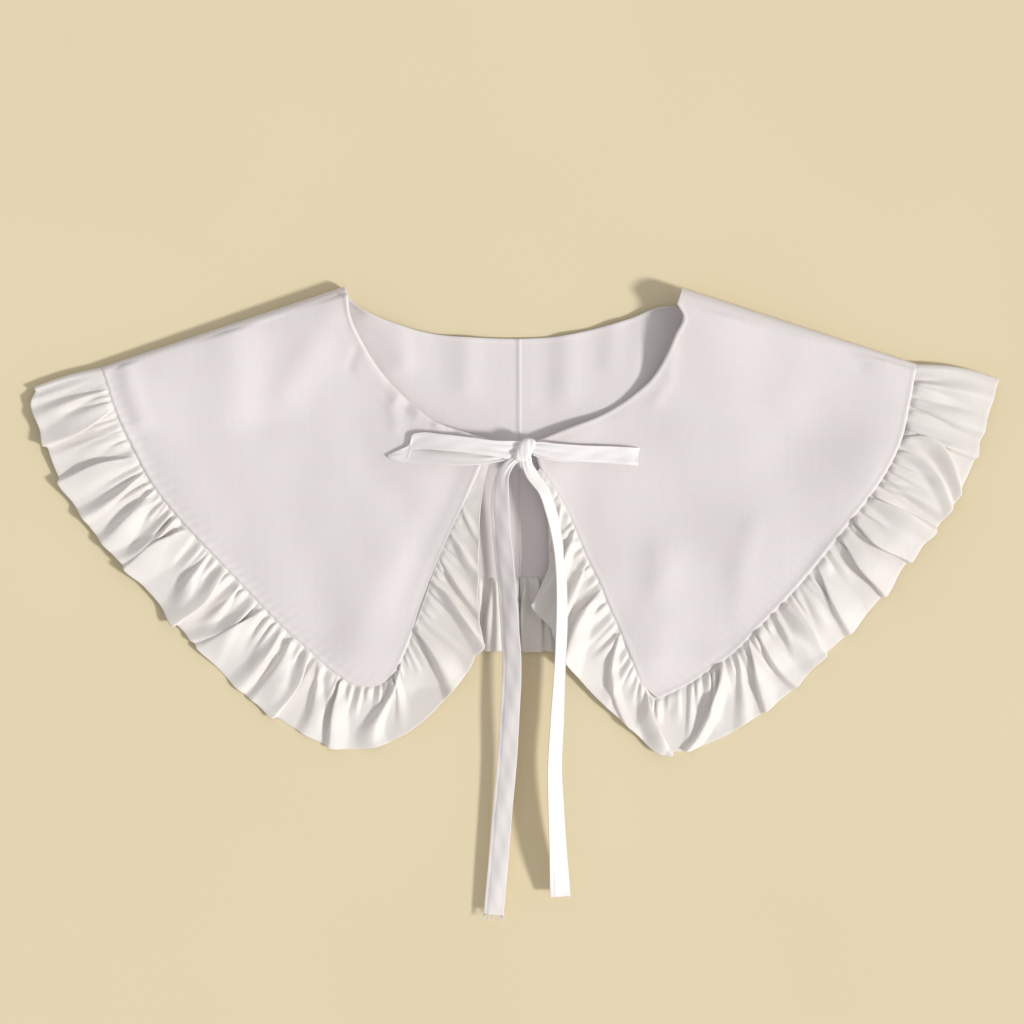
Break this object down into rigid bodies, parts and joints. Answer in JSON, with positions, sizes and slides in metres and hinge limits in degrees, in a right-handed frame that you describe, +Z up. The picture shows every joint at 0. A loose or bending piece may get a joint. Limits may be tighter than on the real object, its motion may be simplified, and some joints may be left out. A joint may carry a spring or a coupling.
{
  "type": "detachable collar",
  "caption": "Detachable white cotton collar with wide halves, a gathered ruffle edge and a tied front bow, laid flat.",
  "frame": {"origin": "on the surface that the collar lies on, under the middle of its box", "axes": "+X towards the half that lies on the right in the picture, +Y towards the neck, +Z up from the surface"},
  "size_m": [0.5124, 0.3323, 0.0193],
  "materials": {
    "collar_cotton": "soft white cotton poplin",
    "ruffle_cotton": "soft white cotton poplin with a slight sheen",
    "tie_cotton": "soft white cotton poplin"
  },
  "bodies": {
    "root": {"front_left": "collar_cotton", "front_right": "collar_cotton", "back_left": "collar_cotton", "back_right": "collar_cotton", "ruffle_outer_left": "ruffle_cotton", "ruffle_outer_right": "ruffle_cotton", "ruffle_opening_left": "ruffle_cotton", "ruffle_opening_right": "ruffle_cotton", "ruffle_back_left": "ruffle_cotton", "ruffle_back_right": "ruffle_cotton", "bow_knot": "tie_cotton", "bow_loop_left": "tie_cotton", "bow_loop_right": "tie_cotton", "tie_tail_left": "tie_cotton", "tie_tail_right": "tie_cotton"}
  },
  "joints": []
}
